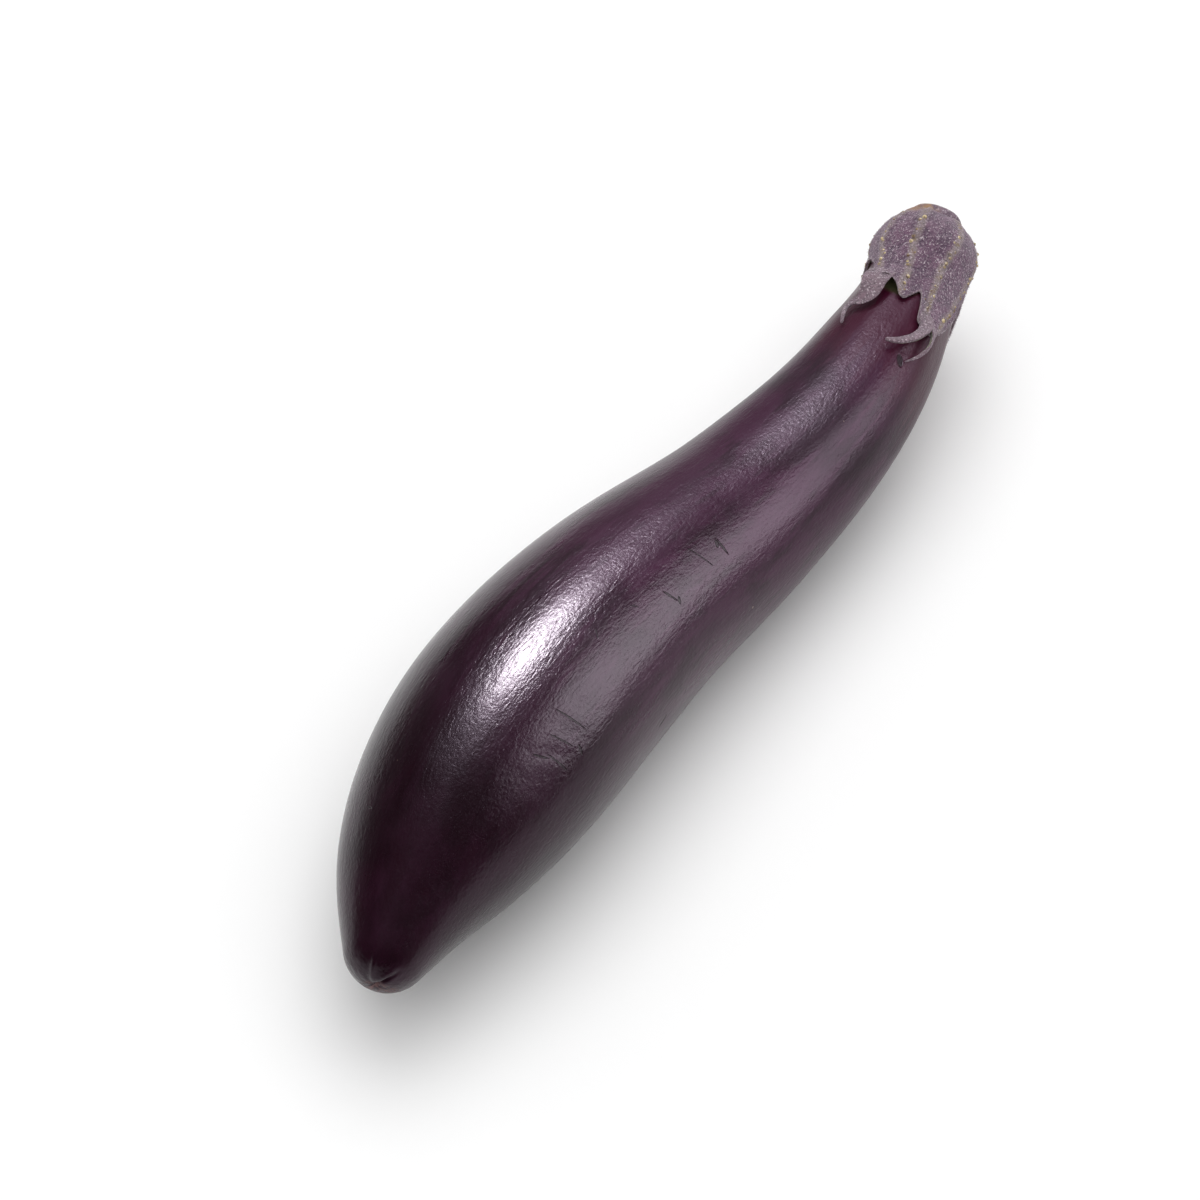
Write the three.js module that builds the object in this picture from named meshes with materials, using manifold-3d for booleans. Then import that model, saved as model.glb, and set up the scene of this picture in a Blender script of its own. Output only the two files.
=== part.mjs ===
// A long purple eggplant, as picked, lying on its side.
//
// Frame: millimetres, +Z up. The origin is on the surface it lies on, under the middle of its
// bounding box. +X runs from the blossom end to the stem end.
//
// Three pieces, as they would come apart on a bench:
//   fruit  - the glossy berry, one solid swept along a gently curved spine
//   calyx  - the hairy cup of five sepals that grips the neck, with curled tips
//   stem   - the short cut stub of the stalk, seated on the fruit and ringed by the calyx

import * as THREE from "three";
import { mergeVertices } from "three/addons/utils/BufferGeometryUtils.js";
import Module from "manifold-3d";

const wasm = await Module();
wasm.setup();

// ---- Fruit: driving dimensions ----
const FRUIT_LENGTH = 239; // along the spine, blossom end to the end hidden in the calyx
const BLOSSOM_RADIUS = 9.2; // the round nose at the blossom end
const BLOSSOM_FLARE = 0.45; // how fast the radius grows where the nose runs into the flank
const CHEST_RADIUS = 20.8; // halfway between the nose and the belly
const CHEST_AT = 36; // from the blossom end, as BELLY_AT and WAIST_AT
const BELLY_RADIUS = 26; // the widest place
const BELLY_AT = 74;
const WAIST_RADIUS = 20.2; // halfway up the fruit
const WAIST_AT = 150;
const NECK_RADIUS = 14.8; // just below the sepals
const NECK_FROM_END = 39; // from the neck to the stem end
const COLLAR_RADIUS = 10.7; // under the calyx, where the shoulder starts to round over
const SHOULDER_LENGTH = 9.2; // the rounded stem end, inside the calyx

// ---- How it lies ----
const REST_END = 110; // from the blossom end to where the underside leaves the surface
const NECK_LIFT = 22.5; // how far the underside of the stem end stands clear
const FLAT_DEPTH = 1.0; // how deep the small resting flat is pressed into the skin

// The spine seen from above: share of the fruit's length, and how far it strays sideways.
const BEND = [
  [0, -3.3],
  [0.12, 4.6],
  [0.29, 7.9],
  [0.45, 6.2],
  [0.62, -0.8],
  [0.77, -4.8],
  [0.9, -3.2],
  [1, 1.6],
];

// ---- Calyx: driving dimensions ----
const CLEARANCE = 0.3; // between neighbouring pieces
const CUP_WALL_EDGE = 0.9; // wall at the sepals' margins
const CUP_WALL_CROWN = 2.3; // wall where the cup meets the stem
const TIP_WIDTH = 3.2; // where it leaves the sepal
const TIP_THICKNESS = 1.3;
const TIP_TAPER = 0.7; // the share of its width and thickness that a tip loses by its end

// The cup's margin, round the neck from notch to sepal point and so on: degrees from -Y upwards,
// and how far from the fruit's stem end the margin lies there.
const MARGIN = [
  [-3, 16],
  [43, 33],
  [62, 32],
  [69, 24.5],
  [98, 29],
  [113, 26.5],
  [141, 15],
  [183, 24],
  [213, 16],
  [247, 29],
  [279, 18],
  [309, 27],
];

// The routes of the sepals' curled tips, one or two to a sepal: millimetres from the fruit's stem
// end, degrees round the neck, and height above the skin.
const SEPAL_TIPS = [
  [[28, 40, 0.8], [32, 44, 1.8], [34.5, 43, 2.4], [36.5, 42, 2.2], [39.5, 43, 1.8], [42.5, 50, 1.2]],
  [[30, 50, 0.8], [36, 53, 2.2], [40, 60, 2.6], [42.5, 73, 2.6]],
  [[25, 98, 1.0], [29, 98, 4.2], [31.5, 100, 4.6], [34, 103, 3.2], [36, 116, 2.6], [41, 114, 1.4]],
  [[20, 183, 0.8], [25, 187, 1.8], [29, 193, 2.4], [32, 202, 2.0]],
  [[25, 247, 0.8], [30, 250, 1.8], [34, 256, 2.4], [37, 265, 1.6]],
  [[23, 309, 0.8], [28, 306, 1.8], [32, 301, 2.2], [35, 294, 1.8]],
];

// ---- Stem: driving dimensions ----
const STEM_FOOT_RADIUS = 5.6; // where it stands on the fruit, inside the cup's crown
const STEM_RADIUS = 6.4; // at the cut
const STEM_LENGTH = 3.8; // from the fruit's stem end to the cut
const STEM_EDGE = 0.5; // the worn edge of the cut

// ---- Mesh fineness ----
const FRUIT_RINGS = 36;
const AROUND = 60;
const CUP_ROWS = 18;
const TIP_SIDES = 8;
const TIP_STEPS = 12;
const STEM_SIDES = 40;
const FOOT_STEPS = 5;

const UP = new THREE.Vector3(0, 0, 1);
const NUDGE = 0.05; // the short step over which the outline's slope is measured
const SHOULDER_AT = FRUIT_LENGTH - SHOULDER_LENGTH;
const NECK_AT = FRUIT_LENGTH - NECK_FROM_END;

// ---- The fruit's radius along its spine ----

// The round nose ends where its slope has come down to the flare of the flank.
const FLARE_ANGLE = Math.atan(BLOSSOM_FLARE);
const NOSE_END = BLOSSOM_RADIUS * (1 - Math.sin(FLARE_ANGLE));

// Between the nose and the shoulder the outline is a smooth curve through these places.
const PLACES = [NOSE_END, CHEST_AT, BELLY_AT, WAIST_AT, NECK_AT, SHOULDER_AT];
const RADII = [
  BLOSSOM_RADIUS * Math.cos(FLARE_ANGLE),
  CHEST_RADIUS,
  BELLY_RADIUS,
  WAIST_RADIUS,
  NECK_RADIUS,
  COLLAR_RADIUS,
];
const SLOPES = PLACES.map((place, i) => {
  if (place === NOSE_END) return BLOSSOM_FLARE;
  if (place === BELLY_AT || place === SHOULDER_AT) return 0;
  const before = place - PLACES[i - 1];
  const after = PLACES[i + 1] - place;
  const slopeBefore = (RADII[i] - RADII[i - 1]) / before;
  const slopeAfter = (RADII[i + 1] - RADII[i]) / after;
  return (slopeBefore * after + slopeAfter * before) / (before + after);
});

function flankRadius(s) {
  let i = 0;
  while (i < PLACES.length - 2 && s > PLACES[i + 1]) i++;
  const span = PLACES[i + 1] - PLACES[i];
  const t = (s - PLACES[i]) / span;
  const blend = t * t * (3 - 2 * t);
  const lean = SLOPES[i] * t * (1 - t) ** 2 - SLOPES[i + 1] * t * t * (1 - t);
  return RADII[i] * (1 - blend) + RADII[i + 1] * blend + span * lean;
}

function radiusAt(s) {
  if (s <= NOSE_END) return Math.sqrt(Math.max(0, s * (2 * BLOSSOM_RADIUS - s)));
  if (s <= SHOULDER_AT) return flankRadius(s);
  const over = Math.min(1, (s - SHOULDER_AT) / SHOULDER_LENGTH);
  return COLLAR_RADIUS * Math.sqrt(1 - over * over);
}

// How far the rounded stem end rises over the collar, at a distance from its middle.
function shoulderHeight(r) {
  return SHOULDER_LENGTH * Math.sqrt(1 - (r / COLLAR_RADIUS) ** 2);
}

// ---- The spine ----

// From the blossom end to the belly the spine is level, then the underside lies on the surface,
// and past the resting stretch it rises smoothly.
function spineHeight(s) {
  if (s <= BELLY_AT) return BELLY_RADIUS;
  const rise = Math.max(0, s - REST_END) / (FRUIT_LENGTH - REST_END);
  return flankRadius(Math.min(s, SHOULDER_AT)) + NECK_LIFT * rise * rise;
}

const spine = new THREE.CatmullRomCurve3(
  BEND.map(([share, aside]) => {
    const s = share * FRUIT_LENGTH;
    return new THREE.Vector3(s, aside, spineHeight(s) - FLAT_DEPTH);
  }),
);

// A place on the spine: its centre, its direction, and the two directions across it. The stem end
// is straight, so that what turns about it fits the fruit.
function spineAt(s) {
  const bent = Math.min(Math.max(s, 0), SHOULDER_AT);
  const u = bent / FRUIT_LENGTH;
  const along = spine.getTangentAt(u);
  const centre = spine.getPointAt(u).addScaledVector(along, s - bent);
  const across = new THREE.Vector3().crossVectors(along, UP).normalize();
  const above = new THREE.Vector3().crossVectors(across, along);
  return { centre, along, across, above };
}

// A point at a height above the skin, at a distance along the spine and an angle round it.
function overSkin(s, degrees, height) {
  const { centre, along, across, above } = spineAt(s);
  const a = THREE.MathUtils.degToRad(degrees);
  const outward = across.multiplyScalar(Math.cos(a)).addScaledVector(above, Math.sin(a));
  const slope = (radiusAt(s + NUDGE) - radiusAt(s - NUDGE)) / (2 * NUDGE);
  const normal = outward.clone().addScaledVector(along, -slope).normalize();
  return centre.addScaledVector(outward, radiusAt(s)).addScaledVector(normal, height);
}

// ---- Mesh helpers ----

// Closes a stack of rings of equal count into one body, with a fan on each end ring.
function skinRings(rings) {
  const count = rings[0].length;
  const positions = rings.flat().flatMap((p) => [p.x, p.y, p.z]);
  const index = [];
  for (let i = 0; i < rings.length - 1; i++) {
    for (let j = 0; j < count; j++) {
      const a = i * count + j;
      const b = i * count + ((j + 1) % count);
      index.push(a, a + count, b, b, a + count, b + count);
    }
  }
  const addFan = (ring, start, flip) => {
    const middle = ring.reduce((sum, p) => sum.add(p), new THREE.Vector3());
    middle.divideScalar(count);
    positions.push(middle.x, middle.y, middle.z);
    const centre = positions.length / 3 - 1;
    for (let j = 0; j < count; j++) {
      const a = start + j;
      const b = start + ((j + 1) % count);
      index.push(...(flip ? [centre, b, a] : [centre, a, b]));
    }
  };
  addFan(rings[0], 0, false);
  addFan(rings[rings.length - 1], (rings.length - 1) * count, true);
  return new THREE.BufferGeometry()
    .setAttribute("position", new THREE.Float32BufferAttribute(positions, 3))
    .setIndex(index);
}

function toSolid(geometry) {
  const bare = geometry.clone();
  bare.deleteAttribute("normal");
  bare.deleteAttribute("uv");
  const merged = mergeVertices(bare, 1e-4);
  return new wasm.Manifold(
    new wasm.Mesh({
      numProp: 3,
      vertProperties: merged.attributes.position.array,
      triVerts: new Uint32Array(merged.index.array),
    }),
  );
}

function toGeometry(solid) {
  const mesh = solid.getMesh();
  return new THREE.BufferGeometry()
    .setAttribute("position", new THREE.BufferAttribute(mesh.vertProperties, 3))
    .setIndex(new THREE.BufferAttribute(mesh.triVerts, 1));
}

function namedMesh(name, geometry, material) {
  geometry.computeVertexNormals();
  const mesh = new THREE.Mesh(geometry, material);
  mesh.name = name;
  return mesh;
}

// ---- Materials ----
const skinMaterial = new THREE.MeshStandardMaterial({ color: 0x2a1222, roughness: 0.25 });
const calyxMaterial = new THREE.MeshStandardMaterial({ color: 0x75607a, roughness: 0.85 });
const stemMaterial = new THREE.MeshStandardMaterial({ color: 0x8a7a68, roughness: 0.8 });

// ---- Fruit ----

// Ring places crowd towards both round ends, where the outline turns fastest.
function ringPlaces() {
  const places = [];
  for (let i = 1; i < FRUIT_RINGS; i++) {
    places.push((FRUIT_LENGTH * (1 - Math.cos((Math.PI * i) / FRUIT_RINGS))) / 2);
  }
  return places;
}

function makeFruit() {
  const rings = ringPlaces().map((s) =>
    Array.from({ length: AROUND }, (_, j) => overSkin(s, (360 * j) / AROUND, 0)),
  );
  const surface = new THREE.BoxGeometry(2 * FRUIT_LENGTH, 2 * FRUIT_LENGTH, BELLY_RADIUS);
  surface.translate(FRUIT_LENGTH / 2, 0, -BELLY_RADIUS / 2);
  const lying = toSolid(skinRings(rings)).subtract(toSolid(surface));
  return namedMesh("fruit", toGeometry(lying), skinMaterial);
}

// ---- Calyx ----

// The hole in the cup's crown clears the stem's foot, and its rim lies square to the shoulder.
const SEAT_RADIUS = STEM_FOOT_RADIUS + CLEARANCE;
const CUP_TOP = SHOULDER_AT + shoulderHeight(SEAT_RADIUS);

// How far along the spine the cup's margin lies, straight from one place in MARGIN to the next.
function marginAt(degrees) {
  const ends = [...MARGIN, [MARGIN[0][0] + 360, MARGIN[0][1]]];
  const turned = degrees < ends[0][0] ? degrees + 360 : degrees;
  const i = ends.findIndex(([to]) => turned < to) - 1;
  const start = i < 0 ? ends.length - 2 : i;
  const [from, near] = ends[start];
  const [to, far] = ends[start + 1];
  return FRUIT_LENGTH - THREE.MathUtils.lerp(near, far, (turned - from) / (to - from));
}

// A cup over the neck, inside face first: up the inside from the margin, then back down the outside.
function makeCup() {
  const rows = 2 * CUP_ROWS;
  const grid = [];
  for (let i = 0; i < rows; i++) {
    const inside = i < CUP_ROWS;
    const step = (inside ? i : rows - 1 - i) / (CUP_ROWS - 1);
    const share = Math.sin((step * Math.PI) / 2);
    grid.push(
      Array.from({ length: AROUND }, (_, j) => {
        const degrees = (360 * j) / AROUND;
        const s = THREE.MathUtils.lerp(marginAt(degrees), CUP_TOP, share);
        const wall = THREE.MathUtils.lerp(CUP_WALL_EDGE, CUP_WALL_CROWN, share ** 2);
        return overSkin(s, degrees, CLEARANCE + (inside ? 0 : wall));
      }),
    );
  }
  const positions = grid.flat().flatMap((p) => [p.x, p.y, p.z]);
  const index = [];
  for (let i = 0; i < rows; i++) {
    for (let j = 0; j < AROUND; j++) {
      const a = i * AROUND + j;
      const b = i * AROUND + ((j + 1) % AROUND);
      const c = ((i + 1) % rows) * AROUND + j;
      const d = ((i + 1) % rows) * AROUND + ((j + 1) % AROUND);
      index.push(a, b, c, b, d, c);
    }
  }
  return new THREE.BufferGeometry()
    .setAttribute("position", new THREE.Float32BufferAttribute(positions, 3))
    .setIndex(index);
}

// A sepal's curled tip: a flat oval section that tapers along its route.
function makeTip(stations) {
  const route = new THREE.CatmullRomCurve3(
    stations.map(([fromEnd, degrees, height]) => overSkin(FRUIT_LENGTH - fromEnd, degrees, height)),
  );
  const rings = [];
  for (let i = 0; i <= TIP_STEPS; i++) {
    const u = i / TIP_STEPS;
    const centre = route.getPointAt(u);
    const along = route.getTangentAt(u);
    const outward = centre.clone().sub(spineAt(centre.x).centre).normalize();
    const wide = new THREE.Vector3().crossVectors(along, outward).normalize();
    const thick = new THREE.Vector3().crossVectors(wide, along);
    const taper = 1 - TIP_TAPER * u;
    rings.push(
      Array.from({ length: TIP_SIDES }, (_, j) => {
        const a = (2 * Math.PI * j) / TIP_SIDES;
        return centre
          .clone()
          .addScaledVector(wide, (TIP_WIDTH / 2) * taper * Math.cos(a))
          .addScaledVector(thick, (TIP_THICKNESS / 2) * taper * Math.sin(a));
      }),
    );
  }
  return skinRings(rings);
}

function makeCalyx() {
  const tips = SEPAL_TIPS.map((stations) => toSolid(makeTip(stations)));
  const whole = tips.reduce((sum, tip) => sum.add(tip), toSolid(makeCup()));
  return namedMesh("calyx", toGeometry(whole), calyxMaterial);
}

// ---- Stem ----

const FOOT_GAP = 0.36; // over the fruit's facets, so that the foot clears them all

// A turned stub about the straight stem end. Its foot is hollowed to sit on the fruit's round
// shoulder, and up to the crown's rim its flank leans out with the hole that it fills.
function makeStem() {
  const outline = [];
  for (let i = 0; i <= FOOT_STEPS; i++) {
    const r = (STEM_FOOT_RADIUS * i) / FOOT_STEPS;
    outline.push(new THREE.Vector2(r, shoulderHeight(r) + FOOT_GAP));
  }
  const steepness = (SHOULDER_LENGTH / COLLAR_RADIUS) ** 2 * (SEAT_RADIUS / shoulderHeight(SEAT_RADIUS));
  const rim = new THREE.Vector2(steepness, 1).setLength(CLEARANCE + CUP_WALL_CROWN);
  const cut = SHOULDER_LENGTH + STEM_LENGTH;
  outline.push(
    new THREE.Vector2(STEM_FOOT_RADIUS + rim.x, shoulderHeight(SEAT_RADIUS) + rim.y),
    new THREE.Vector2(STEM_RADIUS, cut - STEM_EDGE),
    new THREE.Vector2(STEM_RADIUS - STEM_EDGE, cut),
    new THREE.Vector2(0, cut),
  );
  const { centre, along } = spineAt(SHOULDER_AT);
  const mesh = namedMesh("stem", new THREE.LatheGeometry(outline, STEM_SIDES), stemMaterial);
  mesh.position.copy(centre);
  mesh.quaternion.setFromUnitVectors(new THREE.Vector3(0, 1, 0), along);
  return mesh;
}

// ---- Assembly ----
const eggplant = new THREE.Group();
eggplant.name = "eggplant";
eggplant.add(makeFruit(), makeCalyx(), makeStem());

// Centre the bounding box over the origin. The resting flat already lies on z = 0.
const box = new THREE.Box3().setFromObject(eggplant);
const middle = box.getCenter(new THREE.Vector3());
eggplant.position.set(-middle.x, -middle.y, 0);

export default eggplant;
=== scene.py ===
# %% [markdown]
# # A long purple eggplant
# This notebook dresses a plain solid model of a long, slender eggplant: a glossy fruit, the hairy
# calyx that grips its neck, and the cut stub of its stem. The solid model gives every size and
# place. Here each piece gets its real surface, and the scene gets a floor, lights and a camera.

# %% Load the solid model
import math

import bpy
import numpy as np
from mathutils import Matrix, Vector, noise


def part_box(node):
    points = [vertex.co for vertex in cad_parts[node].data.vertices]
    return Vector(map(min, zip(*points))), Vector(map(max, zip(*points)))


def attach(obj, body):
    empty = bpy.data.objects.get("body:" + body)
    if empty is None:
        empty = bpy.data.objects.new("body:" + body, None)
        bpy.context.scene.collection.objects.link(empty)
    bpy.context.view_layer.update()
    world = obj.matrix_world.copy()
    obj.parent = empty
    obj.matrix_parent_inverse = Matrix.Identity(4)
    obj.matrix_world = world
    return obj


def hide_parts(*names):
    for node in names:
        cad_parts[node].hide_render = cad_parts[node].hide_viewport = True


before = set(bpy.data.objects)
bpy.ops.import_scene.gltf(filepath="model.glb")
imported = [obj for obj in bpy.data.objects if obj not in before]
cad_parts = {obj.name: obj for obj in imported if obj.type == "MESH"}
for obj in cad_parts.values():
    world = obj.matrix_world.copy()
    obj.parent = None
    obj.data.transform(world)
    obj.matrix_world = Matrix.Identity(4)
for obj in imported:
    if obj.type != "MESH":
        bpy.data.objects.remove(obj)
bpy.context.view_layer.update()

# %% [markdown]
# ## The fruit's sizes
# An eggplant is a berry that swells round a bent middle line. Its outline is a row of radii along
# that line, so the same few radii as in the solid model are written down once, in millimetres, and
# every piece below finds its place from them. A smooth curve through the radii (a Hermite curve)
# has no flat spots, which matters on a skin that mirrors its surroundings.

# %% Radii along the fruit
LENGTH = 239.0
NOSE = 9.2
FLARE = 0.45
SHOULDER = 9.2
SHOULDER_AT = LENGTH - SHOULDER
NOSE_END = NOSE * (1 - math.sin(math.atan(FLARE)))
PLACES = [NOSE_END, 36.0, 74.0, 150.0, 200.0, SHOULDER_AT]
RADII = [NOSE * math.cos(math.atan(FLARE)), 20.8, 26.0, 20.2, 14.8, 10.7]
COLLAR = RADII[-1]


def slope_at(i):
    if i == 0:
        return FLARE
    if i in (2, 5):
        return 0.0
    before, after = PLACES[i] - PLACES[i - 1], PLACES[i + 1] - PLACES[i]
    low = (RADII[i] - RADII[i - 1]) / before
    high = (RADII[i + 1] - RADII[i]) / after
    return (low * after + high * before) / (before + after)


SLOPES = [slope_at(i) for i in range(6)]


def flank(s):
    i = max(0, min(4, int(np.searchsorted(PLACES, s)) - 1))
    span = PLACES[i + 1] - PLACES[i]
    t = (s - PLACES[i]) / span
    blend = t * t * (3 - 2 * t)
    lean = SLOPES[i] * t * (1 - t) ** 2 - SLOPES[i + 1] * t * t * (1 - t)
    return RADII[i] * (1 - blend) + RADII[i + 1] * blend + span * lean


def radius_at(s):
    if s <= NOSE_END:
        return math.sqrt(max(0.0, s * (2 * NOSE - s)))
    if s <= SHOULDER_AT:
        return flank(s)
    over = min(1.0, (s - SHOULDER_AT) / SHOULDER)
    return COLLAR * math.sqrt(1 - over * over)


print("radius at belly, waist and neck:", [round(radius_at(s), 1) for s in (74, 150, 200)])

# %% [markdown]
# ## The bent middle line
# The fruit lies on its belly, bends a little from side to side and lifts its neck. Its middle line
# runs smoothly through eight points. A Catmull-Rom curve passes through its points, so it is
# easier to aim than a curve with handles.

# %% Middle line
BEND = [(0, -3.3), (0.12, 4.6), (0.29, 7.9), (0.45, 6.2), (0.62, -0.8), (0.77, -4.8), (0.9, -3.2), (1, 1.6)]
REST_END = 110.0
NECK_LIFT = 22.5
FLAT_DEPTH = 1.0


def middle_height(s):
    if s <= 74:
        return 26.0
    rise = max(0.0, s - REST_END) / (LENGTH - REST_END)
    return flank(min(s, SHOULDER_AT)) + NECK_LIFT * rise * rise


KNOTS = np.array([(a * LENGTH, y, middle_height(a * LENGTH) - FLAT_DEPTH) for a, y in BEND])


def knot_curve(t):
    last = len(KNOTS) - 1
    k = min(int(last * t), last - 1)
    w = last * t - k
    p1, p2 = KNOTS[k], KNOTS[k + 1]
    p0 = KNOTS[k - 1] if k > 0 else 2 * KNOTS[0] - KNOTS[1]
    p3 = KNOTS[k + 2] if k + 2 <= last else 2 * KNOTS[last] - KNOTS[last - 1]
    d0, d1, d2 = (float(np.sum((b - a) ** 2)) ** 0.25 for a, b in ((p0, p1), (p1, p2), (p2, p3)))
    m1 = ((p1 - p0) / d0 - (p2 - p0) / (d0 + d1) + (p2 - p1) / d1) * d1
    m2 = ((p2 - p1) / d1 - (p3 - p1) / (d1 + d2) + (p3 - p2) / d2) * d1
    return p1 + m1 * w + (3 * (p2 - p1) - 2 * m1 - m2) * w * w + (2 * (p1 - p2) + m1 + m2) * w**3


STEPS = np.linspace(0, 1, 201)
WALKED = np.r_[0, np.cumsum(np.linalg.norm(np.diff([knot_curve(t) for t in STEPS], axis=0), axis=1))]

# %% [markdown]
# ## Finding a place on the skin
# Every detail below is placed as a grower would describe it: how far along the fruit, how far
# round it, and how high over the skin. This helper turns those three numbers into a point. The
# angle is 0 at the front, 90 on top and 270 underneath.

# %% Place on the skin
FRAMES = {}
shift = np.zeros(3)


def frame_at(s):
    key = round(s, 4)
    if key not in FRAMES:
        bent = min(max(s, 0.0), SHOULDER_AT)
        t = float(np.interp(bent / LENGTH * WALKED[-1], WALKED, STEPS))
        along = knot_curve(min(1, t + 1e-4)) - knot_curve(max(0, t - 1e-4))
        along /= np.linalg.norm(along)
        across = np.cross(along, (0, 0, 1))
        across /= np.linalg.norm(across)
        FRAMES[key] = (knot_curve(t) + along * (s - bent), along, across, np.cross(across, along))
    return FRAMES[key]


def over_skin(s, degrees, height=0.0):
    middle, along, across, above = frame_at(s)
    a = math.radians(degrees)
    out = across * math.cos(a) + above * math.sin(a)
    slope = (radius_at(s + 0.05) - radius_at(s - 0.05)) / 0.1
    normal = out - along * slope
    normal /= np.linalg.norm(normal)
    return (middle + out * radius_at(s) + normal * height) * 0.001 - shift


rings = [LENGTH * (1 - math.cos(math.pi * i / 36)) / 2 for i in range(1, 36)]
skin = np.array([over_skin(s, 6 * j) for s in rings for j in range(60)])
low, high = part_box("fruit")
shift = np.array([skin[:, 0].min() - low.x, skin[:, 1].min() - low.y, 0.0])
print("the helper and the solid agree to, mm:", round(1000 * abs(skin[:, 0].max() - shift[0] - high.x), 3))

# %% [markdown]
# ## Small helpers for modelling
# Operators act on whatever is selected, so each new primitive starts from an empty selection. A
# ring is added as a circle, extruded again and again into a sleeve, and each row of points is then
# moved to its place, which is the quickest way to a grown shape with no straight lines in it.

# %% Helpers
ROW_STEP = 0.001


def clear_selection():
    if bpy.context.mode != "OBJECT":
        bpy.ops.object.mode_set(mode="OBJECT")
    bpy.ops.object.select_all(action="DESELECT")


def take(piece):
    clear_selection()
    bpy.context.view_layer.objects.active = piece
    piece.select_set(True)


def select_points(piece, chosen):
    """Leaves the piece in edit mode with only the chosen points selected."""
    take(piece)
    bpy.ops.object.mode_set(mode="EDIT")
    bpy.ops.mesh.select_all(action="DESELECT")
    bpy.ops.object.mode_set(mode="OBJECT")
    for v, picked in zip(piece.data.vertices, chosen):
        v.select = bool(picked)
    bpy.ops.object.mode_set(mode="EDIT")


def close_end(piece, ring, step):
    """Draws a ring of points together into one, a step further out."""
    select_points(piece, ring)
    bpy.ops.mesh.extrude_region_move(TRANSFORM_OT_translate={"value": (0, 0, step)})
    bpy.ops.mesh.merge(type="CENTER")
    bpy.ops.object.mode_set(mode="OBJECT")


# %% [markdown]
# ### The sleeve
# The sleeve helper also says which row each point is in, and how far round the row it lies. Closed
# ends add one point each, after all the others.

# %% Sleeve, normals and memory
def make_sleeve(name, count, rows, closed_ends):
    """A circle extruded into a sleeve; gives the piece, each point's row and its turn in it."""
    clear_selection()
    bpy.ops.mesh.primitive_circle_add(vertices=count, radius=0.01, location=(0, 0, 0))
    piece = bpy.context.active_object
    piece.name = piece.data.name = name
    bpy.ops.object.mode_set(mode="EDIT")
    bpy.ops.mesh.select_mode(type="VERT")
    bpy.ops.mesh.select_all(action="SELECT")
    for _ in range(rows - 1):
        bpy.ops.mesh.extrude_region_move(TRANSFORM_OT_translate={"value": (0, 0, ROW_STEP)})
    bpy.ops.object.mode_set(mode="OBJECT")
    points = np.array([v.co for v in piece.data.vertices])
    level = np.round(points[:, 2] / ROW_STEP).astype(int)
    angles = np.degrees(np.arctan2(points[:, 1], points[:, 0])) % 360
    turn = np.round(angles / (360 / count)).astype(int) % count
    if closed_ends:
        close_end(piece, level == 0, -0.4 * ROW_STEP)
        close_end(piece, level == rows - 1, 0.4 * ROW_STEP)
    return piece, level, turn


def face_outwards(piece):
    take(piece)
    bpy.ops.object.mode_set(mode="EDIT")
    bpy.ops.mesh.select_all(action="SELECT")
    bpy.ops.mesh.normals_make_consistent(inside=False)
    bpy.ops.object.mode_set(mode="OBJECT")
    bpy.ops.object.shade_smooth()


def smooth_once(piece):
    take(piece)
    finer = piece.modifiers.new("finer", "SUBSURF")
    finer.levels = finer.render_levels = 1
    bpy.ops.object.modifier_apply(modifier=finer.name)


def remember(piece, name, values, kind="FLOAT_VECTOR"):
    """Stores a value for each point, which the materials read back."""
    layer = piece.data.attributes.new(name, kind, "POINT")
    field = "vector" if kind == "FLOAT_VECTOR" else "value"
    layer.data.foreach_set(field, np.array(values, np.float32).ravel())


# %% [markdown]
# ## The fruit
# The fruit is one long berry with a round nose, where the flower once sat, and a hidden shoulder
# under the calyx. It could be a stretched ball, but rows of points placed along the middle line
# keep the outline exact. The rows crowd towards both round ends. The fruit is first made straight,
# like a turned bottle, smoothed once, and only then bent, so that every point remembers how far
# along and how far round it lies. The skin's pattern follows that memory.

# %% Straight fruit
ROUND, ROWS = 84, 120
shares = np.arange(1, ROWS + 1) / (ROWS + 1)
row_places = LENGTH * (1 - np.cos(math.pi * shares)) / 2
fruit, level, turn = make_sleeve("eggplant_fruit", ROUND, ROWS, True)
for v, i, j in zip(fruit.data.vertices, level, turn):
    r, a = radius_at(row_places[i]), 2 * math.pi * j / ROUND
    v.co = (row_places[i] * 0.001, -r * math.cos(a) * 0.001, r * math.sin(a) * 0.001)
fruit.data.vertices[len(level)].co = (0, 0, 0)
fruit.data.vertices[len(level) + 1].co = (LENGTH * 0.001, 0, 0)
smooth_once(fruit)
print("fruit points:", len(fruit.data.vertices))

# %% [markdown]
# ## Bending the fruit and giving it its dents
# A grown fruit isn't a turned bottle. It has a shallow pit and a crease at the nose, soft furrows
# along the neck, faint hollows and a patch of fine wrinkles over the belly. Each one is a small
# height added to the skin as the points move to their bent places. The underside is then pressed
# flat, as the fruit's own weight does.

# %% Dents
def hill(x, width):
    return math.exp(-((x / width) ** 2))


def around(degrees, middle):
    return (degrees - middle + 180) % 360 - 180


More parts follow.
